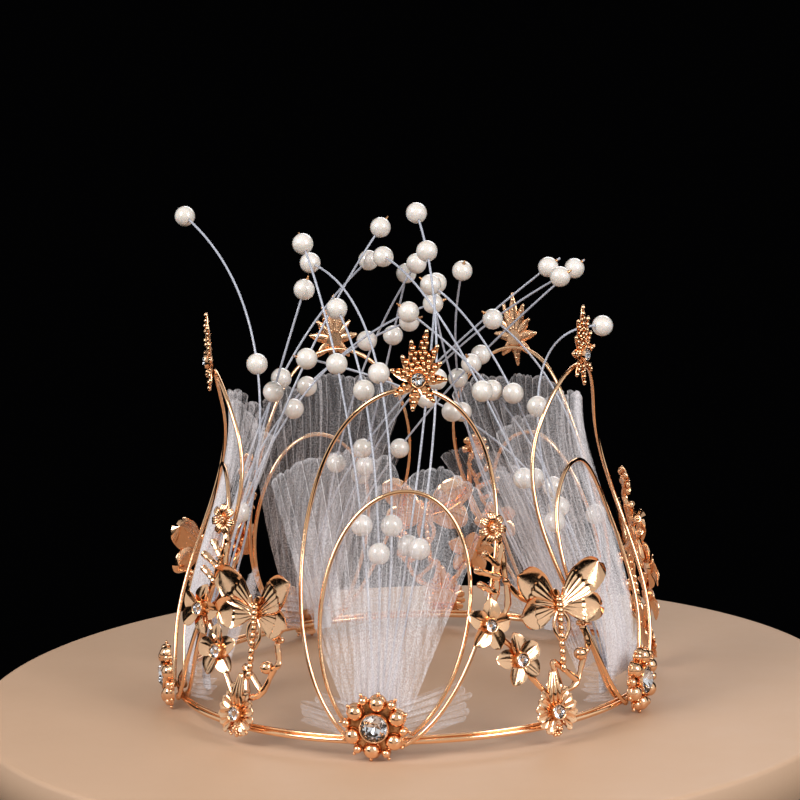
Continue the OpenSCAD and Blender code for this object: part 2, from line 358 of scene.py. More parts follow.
class Nodes:
    """A short way to write a node material."""

    def __init__(self, name):
        self.material = bpy.data.materials.new(name)
        self.material.use_nodes = True
        self.tree = self.material.node_tree
        self.shader = self.tree.nodes["Principled BSDF"]
        self.coords = self.tree.nodes.new("ShaderNodeTexCoord")

    def put(self, **sockets):
        for name, value in sockets.items():
            self.wire(value, self.shader.inputs[name.replace("_", " ")])

    def wire(self, value, socket):
        if hasattr(value, "node"):
            self.tree.links.new(value, socket)
        else:
            socket.default_value = value

    def noise(self, scale, detail=3.0, rough=0.55, vector=None):
        node = self.tree.nodes.new("ShaderNodeTexNoise")
        node.inputs["Scale"].default_value = scale
        node.inputs["Detail"].default_value = detail
        node.inputs["Roughness"].default_value = rough
        self.wire(vector or self.coords.outputs["Object"], node.inputs["Vector"])
        return node.outputs["Fac"]

    def cells(self, scale, feature="F1", vector=None):
        node = self.tree.nodes.new("ShaderNodeTexVoronoi")
        node.feature = feature
        node.inputs["Scale"].default_value = scale
        self.wire(vector or self.coords.outputs["Object"], node.inputs["Vector"])
        return node.outputs["Distance"]

    def spread(self, value, low, high, to_low, to_high):
        node = self.tree.nodes.new("ShaderNodeMapRange")
        node.clamp = True
        self.wire(value, node.inputs["Value"])
        for name, number in zip(("From Min", "From Max", "To Min", "To Max"),
                                (low, high, to_low, to_high)):
            node.inputs[name].default_value = number
        return node.outputs["Result"]

    def split(self, vector):
        node = self.tree.nodes.new("ShaderNodeSeparateXYZ")
        self.wire(vector, node.inputs[0])
        return node.outputs[0], node.outputs[1]

    def sums(self, operation, a, b=0.0):
        node = self.tree.nodes.new("ShaderNodeMath")
        node.operation = operation
        self.wire(a, node.inputs[0])
        self.wire(b, node.inputs[1])
        return node.outputs[0]

    def blend(self, factor, a, b):
        node = self.tree.nodes.new("ShaderNodeMix")
        node.data_type = "RGBA"
        self.wire(factor, node.inputs[0])
        self.wire(a, node.inputs[6])
        self.wire(b, node.inputs[7])
        return node.outputs[2]

    def rough(self, scale, detail, low, high, start=0.3, stop=0.7):
        """Roughness that drifts between low and high."""
        self.put(Roughness=self.spread(self.noise(scale, detail), start, stop, low, high))

    def bump(self, height, strength, distance):
        node = self.tree.nodes.new("ShaderNodeBump")
        node.inputs["Strength"].default_value = strength
        node.inputs["Distance"].default_value = distance
        self.wire(height, node.inputs["Height"])
        self.put(Normal=node.outputs["Normal"])


def rgb(r, g, b):
    return (r, g, b, 1.0)


def gold_wire_material():
    """Drawn wire, plated champagne gold and polished, with faint scuffs."""
    m = Nodes("champagne_gold_wire")
    tone = m.spread(m.noise(55, 2), 0.35, 0.65, 0, 1)
    m.put(Metallic=1.0)
    m.put(Base_Color=m.blend(tone, rgb(0.93, 0.55, 0.30), rgb(0.97, 0.62, 0.38)))
    m.rough(420, 4, 0.07, 0.18, 0.35)
    m.bump(m.noise(2600, 2), 0.12, 0.00008)
    return m.material


def gold_casting_material():
    """Plated casting, with painted shade: an occlusion mask darkens the colour in its hollows to a
    deeper orange.
    """
    m = Nodes("champagne_gold_casting")
    painted_shade_ao = m.tree.nodes.new("ShaderNodeAmbientOcclusion")
    painted_shade_ao.inputs["Distance"].default_value = 0.0018
    painted_shade_ao.samples = 4
    shade = m.spread(painted_shade_ao.outputs["AO"], 0.25, 0.95, 0, 1)
    m.put(Metallic=1.0)
    # Painted shade: where ambient occlusion finds nearby surfaces, the gold colour darkens to deep
    # orange.
    m.put(Base_Color=m.blend(shade, rgb(0.62, 0.25, 0.08), rgb(0.96, 0.59, 0.35)))
    m.rough(900, 4, 0.11, 0.24, 0.35)
    m.bump(m.noise(1500, 4), 0.16, 0.0001)
    return m.material


def solder_and_shade_material():
    """Browned solder under thin plating, also used as painted shade on the medallions' back plates.
    """
    m = Nodes("browned_solder_and_shade")
    tone = m.spread(m.noise(700, 4), 0.35, 0.65, 0, 1)
    m.put(Metallic=1.0)
    m.put(Base_Color=m.blend(tone, rgb(0.36, 0.16, 0.06), rgb(0.74, 0.42, 0.21)))
    m.rough(1300, 3, 0.22, 0.45)
    m.bump(m.noise(1100, 4), 0.5, 0.0003)
    return m.material


def glass_material():
    """Clear cut glass with the faintest polishing haze."""
    m = Nodes("cut_glass")
    m.put(Base_Color=rgb(0.98, 0.99, 1.0), Transmission_Weight=1.0, IOR=1.56)
    m.rough(700, 2, 0.0, 0.02, 0.4, 0.8)
    return m.material


def foil_material():
    """Silver foil behind a stone."""
    m = Nodes("stone_foil")
    m.put(Metallic=1.0)
    m.put(Base_Color=m.blend(m.noise(500, 2), rgb(0.80, 0.84, 0.92), rgb(0.97, 0.97, 0.98)))
    m.rough(1200, 2, 0.02, 0.07)
    return m.material


def pearl_material():
    """Imitation pearl: cream, with a soft inner glow under a glossy coat."""
    m = Nodes("cream_pearl")
    drift = m.spread(m.noise(260, 2), 0.35, 0.65, 0, 1)
    m.put(Base_Color=m.blend(drift, rgb(0.74, 0.67, 0.60), rgb(0.82, 0.76, 0.71)))
    m.rough(1800, 3, 0.24, 0.33)
    m.put(Subsurface_Weight=0.25, Subsurface_Scale=0.0012, IOR=1.6)
    m.shader.inputs["Subsurface Radius"].default_value = (1.0, 0.7, 0.5)
    m.put(Coat_Weight=1.0, Coat_Roughness=0.05, Coat_IOR=1.75)
    m.bump(m.noise(2400, 3), 0.06, 0.0001)
    return m.material


def nylon_material():
    """Milky nylon filament."""
    m = Nodes("nylon_filament")
    m.put(Base_Color=m.blend(m.noise(900, 2), rgb(0.52, 0.54, 0.64), rgb(0.68, 0.70, 0.78)))
    m.put(Transmission_Weight=0.35, IOR=1.53, Coat_Weight=0.4, Coat_Roughness=0.1)
    m.rough(1500, 3, 0.2, 0.32)
    m.bump(m.noise(1900, 3), 0.15, 0.0001)
    return m.material


def thread_material():
    """White binding thread, finely twisted."""
    m = Nodes("binding_thread")
    wave = m.tree.nodes.new("ShaderNodeTexWave")
    wave.inputs["Scale"].default_value = 1400
    wave.inputs["Distortion"].default_value = 1.5
    m.wire(m.coords.outputs["Object"], wave.inputs["Vector"])
    m.put(Base_Color=m.blend(wave.outputs["Fac"], rgb(0.55, 0.53, 0.56), rgb(0.82, 0.80, 0.82)))
    m.rough(1500, 2, 0.55, 0.75)
    m.bump(wave.outputs["Fac"], 0.5, 0.0001)
    return m.material


def tulle_material(name, foot, tip):
    """Fine net with a dusting of glitter, that covers more at its gathered foot than at its tip.
    One map runs in millimetres along the cloth, and the other gives the side of the pleat and
    how far out along the fan."""
    m = Nodes(name)
    cloth, fold = (m.tree.nodes.new("ShaderNodeUVMap") for _ in range(2))
    cloth.uv_map, fold.uv_map = "cloth", "fold"
    cloth, fold = cloth.outputs["UV"], fold.outputs["UV"]
    across, along = m.split(cloth)
    side, out = m.split(fold)
    pitch = 0.55

    def threads(slope):
        at = m.sums("ADD", m.sums("MULTIPLY", across, slope), along)
        way = m.sums("FRACT", m.sums("DIVIDE", at, pitch))
        return m.sums("ABSOLUTE", m.sums("SUBTRACT", way, 0.5))

    nearest = m.sums("MINIMUM", threads(1.7), threads(-1.7))
    net = m.spread(nearest, 0.07, 0.15, 1.0, 0.30)
    streak = m.tree.nodes.new("ShaderNodeMapping")
    streak.inputs["Scale"].default_value = (1.0, 0.07, 1.0)
    m.wire(cloth, streak.inputs["Vector"])
    streaks = m.spread(m.noise(0.6, 4, 0.6, streak.outputs[0]), 0.34, 0.68, 0.45, 1.4)
    grain = m.spread(m.noise(1.7, 2, 0.6, cloth), 0.36, 0.66, 0.5, 1.5)
    streaks = m.sums("MULTIPLY", streaks, grain)
    body = m.spread(out, 0.0, 0.9, foot, tip)
    crease = m.spread(side, 0.90, 0.98, 0.0, 0.7 * foot)
    crease = m.sums("MULTIPLY", crease, m.spread(out, 0.1, 0.5, 0.4, 1.0))
    crease = m.sums("MULTIPLY", crease, grain)
    hem = m.spread(out, 0.985, 0.995, 0.0, 0.5 * tip)
    glitter = m.spread(m.cells(0.5, vector=cloth), 0.04, 0.08, 0.8, 0.0)
    cover = m.sums("MULTIPLY", m.sums("MULTIPLY", net, streaks), body)
    cover = m.sums("ADD", cover, m.sums("ADD", crease, hem))
    m.put(Alpha=m.sums("MINIMUM", m.sums("MAXIMUM", cover, glitter), 0.95))
    cloud = m.noise(0.12, 3, 0.6, cloth)
    white = m.blend(cloud, rgb(0.80, 0.76, 0.79), rgb(0.95, 0.92, 0.94))
    m.put(Base_Color=m.blend(glitter, white, rgb(1.0, 0.98, 1.0)))
    m.put(Roughness=m.spread(glitter, 0, 1, 0.6, 0.2))
    m.put(Sheen_Weight=0.3, Sheen_Roughness=0.4)
    m.bump(net, 0.3, 0.0001)
    return m.material


def floor_material():
    """Plain pale ground, barely mottled."""
    m = Nodes("pale_ground")
    m.put(Base_Color=m.blend(m.noise(9, 3), rgb(0.52, 0.33, 0.21), rgb(0.56, 0.365, 0.24)))
    m.rough(60, 3, 0.5, 0.6)
    m.bump(m.noise(900, 3), 0.08, 0.0002)
    return m.material


GOLD_WIRE = gold_wire_material()
GOLD = gold_casting_material()
SOLDER_AND_SHADE = solder_and_shade_material()
GLASS = glass_material()
FOIL = foil_material()
PEARL = pearl_material()
NYLON = nylon_material()
THREAD = thread_material()
TULLE_FRONT = tulle_material("tulle_net", 0.8, 0.33)
TULLE_BUNCH = tulle_material("tulle_net_gathered", 1.4, 0.03)
TULLE_BACK = tulle_material("tulle_net_back", 0.6, 0.22)


def add_casting(name, shape, materials):
    stands_for(make_piece(name, shape, materials), name, "crown_frame")


def add_stones(name, shape):
    """Stones keep the sharp edges of their facets."""
    piece = make_piece(name, shape, [GLASS, FOIL], sharp=4)
    stands_for(piece, name, "crown_frame")


# ---- hoop and arches ----------------------------------------------------------------------

def ring_path(r, z, count=288):
    a = 2 * np.pi * np.arange(count) / count
    return np.stack([r * np.sin(a), -r * np.cos(a), z + 0 * a], axis=-1)


def make_hoop():
    """The main wire, with a blob of solder wherever something stands on it."""
    shape = Shape()
    shape.add(tube(ring_path(HOOP_R, HOOP_Z), HOOP_WIRE / 2, 20, closed=True))
    for i in range(5):
        for azimuth, size in ((BRANCH_AZ[i], 1.25), (PETAL_AZ[i] - 5, 1.1), (PETAL_AZ[i] + 5, 1.1)):
            blob = ball((0, 0, 0), size, 0.75)
            shape.add(blob, turn(azimuth) @ shift(0, -HOOP_R - 0.25, HOOP_Z + 0.35), 1)
    stands_for(make_piece("hoop", shape, [GOLD_WIRE, SOLDER_AND_SHADE]), "hoop", "crown_frame")


def make_top_wire():
    """The thin wire on top, a hair uneven, as bent by hand."""
    z = HOOP_Z + (HOOP_WIRE + THIN_WIRE) / 2
    path = ring_path(HOOP_R, z)
    a = 2 * np.pi * np.arange(len(path)) / len(path)
    path[:, :2] *= (1 + 0.0018 * np.sin(9 * a + 1) + 0.0012 * np.sin(17 * a))[:, None]
    shape = Shape()
    shape.add(tube(path, THIN_WIRE / 2, 14, closed=True))
    piece = make_piece("hoop_top_wire", shape, [GOLD_WIRE])
    stands_for(piece, "hoop_top_wire", "crown_frame")


def arch_path(half_w, high, lean, out, count=161):
    """From the left foot, over the top, to the right foot."""
    u = np.radians(17 + 326 * np.linspace(0, 1, count))
    foot = math.cos(math.radians(17))
    h = high * (foot - np.cos(u)) / (1 + foot)
    x = -half_w * np.sin(u) * (1 - 0.15 * ((1 + np.cos(u)) / 2) ** 1.5)
    x, h = leaned(x, h, lean)
    return wrap(x, np.maximum(h, -0.6), HOOP_R + out - inset(h))


def make_arch(name, i, half_w, high, lean, out):
    shape = Shape()
    path = arch_path(half_w, high, lean, out)
    shape.add(tube(path, ARCH_WIRE / 2, 16), turn(PETAL_AZ[i]))
    for foot in (path[0], path[-1]):
        shape.add(ball(foot + [0, 0, 0.3], 1.0, 1.3), turn(PETAL_AZ[i]), 1)
    piece = make_piece(name, shape, [GOLD_WIRE, SOLDER_AND_SHADE])
    stands_for(piece, name, "crown_frame")


# ---- stones -------------------------------------------------------------------------------

def cut_stone(r):
    """A brilliant: table, kite and girdle facets over a foiled point. Its girdle is at z = 0."""
    eighth = np.radians(45 * np.arange(8))
    half = eighth + np.radians(22.5)
    sixteenth = np.radians(22.5 * np.arange(16))

    def ring(angles, radius, z):
        return np.stack([radius * np.cos(angles), radius * np.sin(angles), z + 0 * angles], -1)

    points = np.concatenate([
        ring(eighth, 0.56 * r, 0.34 * r),
        ring(half, 0.80 * r, 0.20 * r),
        ring(sixteenth, r, 0.02 * r),
        ring(sixteenth, r, -0.03 * r),
        ring(half, 0.55 * r, -0.34 * r),
        [[0, 0, -0.62 * r]],
    ])
    table, kite, girdle, under, mid, point = 0, 8, 16, 32, 48, 56
    clear, foil, band = [], [], []
    for k in range(8):
        n, g = (k + 1) % 8, 2 * k
        a, b, c = girdle + g, girdle + g + 1, girdle + (g + 2) % 16
        clear += [[table + k, kite + k, table + n], [kite + k, a, b], [kite + k, b, c]]
        clear += [[table + k, a, kite + k], [table + n, kite + k, c]]
        d, e, f = under + g, under + g + 1, under + (g + 2) % 16
        foil += [[mid + k, e, d], [mid + k, f, e], [mid + k, d, point], [mid + k, point, f]]
    for k in range(16):
        n = (k + 1) % 16
        band.append([girdle + k, under + k, under + n, girdle + n])
    return points, [np.arange(8)[None], np.array(clear), np.array(foil), np.array(band)]


STONE_PARTS = [0, 0, 1, 0]


def bezel(r, z, wall=0.45, lip=0.3):
    """The cup that holds a stone: a ring with an open inside."""
    profile = [(r + wall, z - 1.4), (r + wall, z + lip * 0.4), (r + wall * 0.7, z + lip),
               (r + wall * 0.25, z + lip), (r - 0.05, z + lip * 0.4), (r - 0.05, z - 1.4)]
    angle = 2 * np.pi * np.arange(40) / 40
    p = np.array(profile)
    rings = np.stack([
        np.outer(np.cos(angle), p[:, 0]), np.outer(np.sin(angle), p[:, 0]),
        np.outer(np.ones(40), p[:, 1]),
    ], axis=-1)[:, ::-1]
    return loft(rings, True)


# ---- medallion ----------------------------------------------------------------------------

MEDALLION_STONE_R = 4.0
MEDALLION_GIRDLE = 3.0
DOME_RING_R = 7.1
BALL_RING_R = 8.5
# Angles of the domes, and of the small balls between them
LARGE_DOMES = [-8 - 60 * k for k in range(6)]
SMALL_BALLS = [22 - 60 * k for k in range(6)]


def flat_ring(r, count=72):
    a = 2 * np.pi * np.arange(count) / count
    return np.stack([r * np.cos(a), r * np.sin(a), 0 * a], axis=-1)


def stepped_dome(r, collar):
    """A polished dome on a stepped collar."""
    profile = [(0.1, 0.1), (collar, 0.1), (collar, 0.75), (collar - 0.12, 0.95),
               (r + 0.28, 1.0), (r + 0.22, 1.3), (r + 0.02, 1.42)]
    return lathe(profile + dome_profile(r, 1.45, 0.95 * r, 9), 32)


def make_medallion(i):
    shape = Shape()
    place = at_medallion(i)
    # Painted shade: the back plate takes the dark browned solder finish, so the gaps between the
    # domes read as deep shadow.
    shape.add(lathe([(0.1, 0), (8.0, 0), (8.15, 0.25), (8.0, 0.5), (0.1, 0.5)], 48), place, 1)
    shape.add(bezel(MEDALLION_STONE_R, MEDALLION_GIRDLE, 0.5, 0.35), place)
    shape.add(tube(flat_ring(8.1), 0.5, 10, closed=True), place @ shift(0, 0, 0.5))
    for angle in LARGE_DOMES:
        spot = place @ turn(angle)
        shape.add(stepped_dome(2.45, 2.75), spot @ shift(0, DOME_RING_R, 0))
        shape.add(tube([(0, 8.9, 0.9), (0, 9.7, 0.95)], 0.42, 10), spot)
        shape.add(ball((0, 10.0, 1.0), 0.6), spot)
    for angle in SMALL_BALLS:
        spot = place @ turn(angle)
        shape.add(lathe([(0.1, 0.2), (1.3, 0.2), (1.42, 0.6), (1.25, 0.9), (0.1, 1.0)], 20),
                  spot @ shift(0, BALL_RING_R, 0))
        shape.add(ball((0, BALL_RING_R, 1.6), 1.3), spot)
        shape.add(ball((0, 10.35, 0.95), 0.55), spot)
        shape.add(tube([(0, 9.3, 0.9), (0, 10.1, 0.95)], 0.34, 8), spot)
    add_casting(f"medallion_{i + 1}", shape, [GOLD, SOLDER_AND_SHADE])


def make_medallion_stones():
    shape = Shape()
    for i in range(5):
        spot = at_medallion(i) @ turn(11) @ shift(0, 0, MEDALLION_GIRDLE)
        shape.add(cut_stone(MEDALLION_STONE_R), spot, STONE_PARTS)
    add_stones("medallion_stones", shape)


# ---- leaf ---------------------------------------------------------------------------------

# Each lobe: angle from upright, and length
LEAF_LOBES = [
    [0, 15.3], [20, 12.1], [-20, 12.1], [44, 8.9], [-44, 8.9],
    [80, 8.9], [-80, 8.9], [134, 8.6], [-134, 8.6], [180, 9.6],
]
LEAF_STONE_R = 2.0
LEAF_GIRDLE = 2.3


def leaf_lobe(length, width):
    """A boat-shaped lobe: a thin shell whose edges turn up into a rim."""
    def outline(s):
        return np.sin(np.pi * s**0.8) ** 0.7 + 0.04

    def surface(s, t):
        return 0.35 + 0.5 * np.abs(t) ** 3 * np.sin(np.pi * s) + 0.6 * s**2

    return blade(length, width, outline, surface, 0.4, 20, 13)


def lobe_beads(length):
    """Centre, radius and stretch of each bead on a lobe: a drop at its tip, a large one, then
    pairs and singles by turns towards the stone."""
    tip = length - 0.95
    beads = [(0, tip, 0.66, 1.3), (0, tip - 1.8, 0.86, 1.0)]
    y = tip - 3.5
    pair = True
    while y > 2.9:
        if pair:
            beads += [(-0.72, y, 0.58, 1.0), (0.72, y + 0.2, 0.62, 1.0)]
        else:
            beads += [(0.1, y, 0.8, 1.0)]
        y -= 1.5
        pair = not pair
    return beads


def make_leaf(i):
    shape = Shape()
    place = at_leaf(i)
    for angle, length in LEAF_LOBES:
        spot = place @ turn(angle)
        shape.add(leaf_lobe(length - 0.3, 3.3), spot)
        for x, y, r, stretch in lobe_beads(length):
            lift = 0.8 + 0.6 * (y / length) ** 2
            bead = ball((0, 0, 0), r, stretch, 16, 11)
            shape.add(bead, spot @ shift(x, y, lift) @ turn(90, "X"))
    shape.add(lathe([(0.1, 0.1), (2.7, 0.1), (2.9, 0.6), (2.5, 1.2), (0.1, 1.2)], 32), place)
    shape.add(bezel(LEAF_STONE_R, LEAF_GIRDLE, 0.35, 0.22), place)
    add_casting(f"leaf_{i + 1}", shape, [GOLD])


def make_leaf_stones():
    shape = Shape()
    for i in range(5):
        shape.add(cut_stone(LEAF_STONE_R), at_leaf(i) @ shift(0, 0, LEAF_GIRDLE), STONE_PARTS)
    add_stones("leaf_stones", shape)


# ---- flower branch ------------------------------------------------------------------------

DAISY = (0, 5)
DAISY_STONE_R = 2.0
# Each blossom: centre, length and width of a petal, turn, and radius of its stone
BLOSSOMS = [[(-10.4, 22.2), 8.3, 6.2, 10, 1.9], [(-19.7, 33.9), 7.8, 5.9, -14, 1.8]]
TOP_FLOWER = (-13.8, 61.9)
STONE_GIRDLE = 2.9
# Each twig: a chain of points in the branch's own plane
TWIGS = [
    [[1.5, 10], [8.7, 12.1], [12.7, 19.7], [14.8, 22.2], [13.8, 28]],
    [[8.7, 13.2], [1.5, 19.4], [2.9, 12]],
    [[-2, 10], [-8, 18]],
    [[-12, 26], [-17, 31]],
    [[-19, 37], [-15.4, 43], [-13.4, 50.6], [-11.4, 56], [-13, 60]],
    [[-11.4, 56], [-11.4, 52.8], [-11.8, 39.3], [-17, 34]],
    [[-13.4, 50.6], [-17.2, 54.4]],
    [[-14.2, 47.5], [-20.6, 50.3]],
    [[-15.4, 43], [-20.2, 45.9]],
    [[-11.6, 46], [-6.6, 40], [2, 36]],
]
STAMENS = TWIGS[6:9]
TRIPLE_BUD = [[12.4, 29.6], [13.8, 30.6], [15.4, 29.4]]
TWIG_Z = 0.75


def twig(chain, seed, thick=0.85):
    """A knobbly, faintly fluted twig."""
    points = np.column_stack([np.array(chain, float), np.full(len(chain), TWIG_Z)])
    path = rounded(points, 9)
    along = np.arange(len(path))
    radius = thick + 0.09 * np.sin(along * 0.9 + seed) + 0.06 * np.sin(along * 2.3 + 2 * seed)
    for k in range(0, len(path), 9):
        radius = radius + 0.16 * np.exp(-((along - k) / 1.6) ** 2)
    path[:, 2] += 0.18 * np.sin(along * 0.45 + seed)
    return tube(path, radius, 15, grooves=5, depth=0.07)


def stamen_end(root, tip):
    """The flared, ringed end of a stamen."""
    direction = math.degrees(math.atan2(tip[0] - root[0], tip[1] - root[1]))
    profile = [(0.1, -1.5), (0.62, -1.5), (0.62, -0.6), (0.95, 0.0), (1.15, 0.45),
               (1.1, 0.75), (0.85, 0.8)] + dome_profile(0.72, 0.7, 0.65, 5)
    return lathe(profile, 20), shift(tip[0], tip[1], TWIG_Z) @ turn(-direction) @ turn(-90, "X")


def daisy_petal(length, width):
    """A narrow channel with raised edges and a blunt end that curls forward."""
    def outline(s):
        return (0.5 + 0.5 * s) * np.sqrt(np.clip(1.01 - s**9, 0.01, 1))

    def surface(s, t):
        channel = 0.75 * np.abs(t) ** 1.6 * np.sin(np.pi * np.minimum(s * 1.1, 1)) ** 0.5
        return 0.9 + channel + 0.6 * s**2

    return blade(length, width, outline, surface, 0.4, 18, 13)


def cupped_petal(length, width, rise):
    """A pointed oval that cups towards its tip, creased down the middle."""
    def outline(s):
        return np.sin(np.pi * s**1.15) ** 0.7 * (1 - 0.1 * s) + 0.03

    def surface(s, t):
        cup = 0.9 * t**2 * np.sin(np.pi * s)
        crease = -0.28 * np.exp(-((t / 0.16) ** 2)) * np.sin(np.pi * s)
        return 0.9 + cup + crease + rise * (1.4 * s - 1.1 * s**2.2)

    return blade(length, width, outline, surface, 0.42, 18, 17)


def add_daisy(shape, place, seed):
    """Fluted petals round a stone, the upper ones running up into the stem, and a rough
    nugget of casting where it is soldered to the hoop."""
    centre = place @ shift(*DAISY)
    for k in range(14):
        angle = -143 + 286 * k / 13
        upper = math.exp(-((angle / 30) ** 2))
        spot = centre @ turn(angle) @ shift(0, 0, 0.2 * (k % 2))
        shape.add(daisy_petal(7.4 + 2.4 * upper, 2.9), spot)
    rough = np.random.default_rng(seed)
    shape.add(lathe([(0.1, 0), (4.4, 0), (4.6, 0.5), (4.0, 1.4), (0.1, 1.6)], 28), centre)
    for _ in range(44):
        angle = rough.uniform(-36, 36)
        reach = rough.uniform(3.4, 7.0)
        size = rough.uniform(0.4, 0.75)
        spot = centre @ turn(180 + angle) @ shift(0, reach, rough.uniform(0.2, 1.5))
        shape.add(ball((0, 0, 0), size, 0.9, 10, 7), spot)
    for x in (-1.7, 0, 1.7):
        flute = [(x, 3.0, 1.0), (0.8 * x, 6.5, 1.5), (0.3 * x + 0.6, 11.5, 1.1)]
        shape.add(tube(rounded(flute, 6), 0.95, 12), centre)
    shape.add(bezel(DAISY_STONE_R, STONE_GIRDLE, 0.4, 0.25), centre)
    shape.add(lathe([(0.1, 0.3), (2.5, 0.3), (2.6, 1.2), (2.3, 2.0), (0.1, 2.0)], 28), centre)


def add_blossom(shape, place, blossom, seed):
    centre_at, length, width, start, stone_r = blossom
    rough = np.random.default_rng(seed)
    centre = place @ shift(*centre_at)
    for k in range(5):
        rise = rough.uniform(0.3, 2.2)
        petal = cupped_petal(length * rough.uniform(0.94, 1.06), width, rise)
        tilt = turn(rough.uniform(-10, 10), "Y")
        shape.add(petal, centre @ turn(start + 72 * k) @ shift(0, 0, 0.15 * (k % 3)) @ tilt)
    shape.add(bezel(stone_r, STONE_GIRDLE, 0.4, 0.25), centre)
    profile = [(0.1, 0.3), (2.0, 0.3), (2.35, 1.3), (2.2, 2.0), (0.1, 2.0)]
    shape.add(lathe(profile, 28), centre)


def add_top_flower(shape, place):
    """A tight cluster of small ridged petals round a grooved knob."""
    centre = place @ shift(*TOP_FLOWER) @ np.diag([1.2, 1.2, 1.1, 1])
    for k in range(7):
        spot = centre @ turn(360 * k / 7)
        for x in (-0.62, 0, 0.62):
            ridge = [(x * 0.4, 1.0, 1.0), (x, 2.4, 1.5), (x * 0.9, 3.5, 1.1)]
            shape.add(tube(rounded(ridge, 5), [0.3] * 4 + [0.45] * 7, 10), spot)
        shape.add(ball((0, 3.1, 0.95), 1.0, 0.7, 14, 8), spot)
    shape.add(lathe([(0.1, 0.2), (1.5, 0.2), (1.6, 1.0)] + dome_profile(1.3, 1.2, 1.0), 20), centre)
    for k in range(6):
        shape.add(ball((0, 0.85, 2.0), 0.42, 1.0, 10, 7), centre @ turn(60 * k))


def make_branch(i):
    shape = Shape()
    place = at_branch(i)
    for k, chain in enumerate(TWIGS):
        shape.add(twig(chain, k + i), place)
    add_daisy(shape, place, 20 + i)
    for k, blossom in enumerate(BLOSSOMS):
        add_blossom(shape, place, blossom, 40 + 2 * i + k)
    add_top_flower(shape, place)
    for k, (root, tip) in enumerate(STAMENS):
        end, spot = stamen_end(root, tip)
        shape.add(end, place @ spot)
        shape.add(twig([root, tip], k, 0.95), place)
    for x, y in TRIPLE_BUD:
        shape.add(ball((x, y, 1.0), 0.95, 1.0, 14, 9), place)
        shape.add(tube([(13.8, 27.6, TWIG_Z), (x, y, 1.0)], 0.45, 10), place)
    shape.add(ball((11, 20.6, 1.6), 2.0, 1.0, 24, 16), place)
    shape.add(lathe([(0.1, 0), (1.2, 0), (1.3, 0.5), (0.1, 0.7)], 20), place @ shift(11, 20.6, 0))
    shape.add(tube([(11, 20.6, 0.7), (12.9, 19.9, TWIG_Z)], 0.6, 10), place)
    add_casting(f"flower_branch_{i + 1}", shape, [GOLD])


def make_flower_stones():
    shape = Shape()
    for i in range(5):
        flowers = [(DAISY, DAISY_STONE_R)] + [(b[0], b[4]) for b in BLOSSOMS]
        for centre, r in flowers:
            spot = at_branch(i) @ shift(*centre) @ shift(0, 0, STONE_GIRDLE)
            shape.add(cut_stone(r), spot, STONE_PARTS)
    add_stones("flower_stones", shape)


# ---- butterfly ----------------------------------------------------------------------------

BUTTERFLY_BODY = (5.1, 35.8)
# Wings: direction in degrees from upright, length, width, and how far they lift
WINGS = [[52, 18.5, 10.4, 2.0], [95, 14.8, 9.4, 0.8], [-53, 18.5, 10.4, 2.0], [-99, 14.4, 9.4, 0.8]]
BUTTERFLY_Z = 1.9


def wing(length, width, lift):
    """A wing that widens to a blunt end. Fine veins run out to a smooth, raised border, and the
    border meets them in a row of small scallops."""
    def outline(s):
        return (0.3 + 0.7 * smooth(s / 0.6)) * np.sqrt(np.clip(1.01 - s**8, 0.01, 1))

    def surface(s, t):
        inner = smooth(s / 0.2) * smooth((0.62 - s) / 0.04)
        veins = 0.13 * np.abs(np.cos(3.0 * np.pi * t)) * inner
        scallop = 0.03 * np.abs(np.cos(2.5 * np.pi * t))
        border = 0.30 * smooth((s - 0.61 + scallop) / 0.03)
        rim = 0.2 * np.abs(t) ** 8
        dish = 1.5 * t**2 * s + 0.5 * t * s
        return 0.2 + veins + border + rim + dish + lift * s**1.3

    return blade(length, width, outline, surface, 0.4, 72, 37)


def make_butterfly(i):
    shape = Shape()
    place = at_branch(i) @ shift(BUTTERFLY_BODY[0], BUTTERFLY_BODY[1], BUTTERFLY_Z)
    for direction, length, width, lift in WINGS:
        shape.add(wing(length, width, lift), place @ turn(direction))
    for y, r in ((1.9, 1.25), (0.2, 1.35), (-1.3, 1.2), (-2.7, 1.0)):
        shape.add(ball((0, y, 0.9), r, 0.9, 18, 12), place)
    for side in (-1, 1):
        shape.add(ball((side * 0.75, 2.9, 1.2), 0.55, 1.0, 12, 8), place)
        strip = [(side * 0.9, -1.6, 0.5), (side * 2.5, -4.2, 0.6), (side * 2.4, -7.2, 0.5),
                 (side * 0.7, -10.2, 0.2)]
        shape.add(tube(rounded(strip, 8), 0.42, 10, squash=1.6), place)
        crest = cupped_petal(3.4, 1.8, 0.4)
        shape.add(crest, place @ shift(side * 0.6, 2.4, 0.3) @ turn(-22 * side))
    for k in range(7):
        bead = ball((0, 0, 0), 1.0, 1.4, 16, 11)
        spot = place @ shift(-0.2 - 0.12 * k, -4.3 - 2.35 * k, 0.5 - 0.09 * k)
        shape.add(bead, spot @ turn(90, "X"))
    add_casting(f"butterfly_{i + 1}", shape, [GOLD])


# ---- tulle --------------------------------------------------------------------------------

PLEAT_DEPTH = 0.9
STEPS_PER_FOLD = 6
FAN_ROWS = 40
# A fan is cut as a sector, so its rectangle is this much larger
BASE_HALF_W = 7.6
# Degrees by which the loose edges of each front fan stand out past its stand-in
SPREAD_LEFT = [8, 2, 2, 2, 8]
SPREAD_RIGHT = [8, 2, 2, 2, 2]


def front_in(h):
    return TULLE_FRONT_IN - 0.6 + inset(h)


def bunch_in(h):
    return TULLE_FRONT_IN + 0.9 + inset(h)


def back_in(h):
    return TULLE_BACK_IN + BACK_LEAN * (np.maximum(h, 0) / 70) ** 1.25


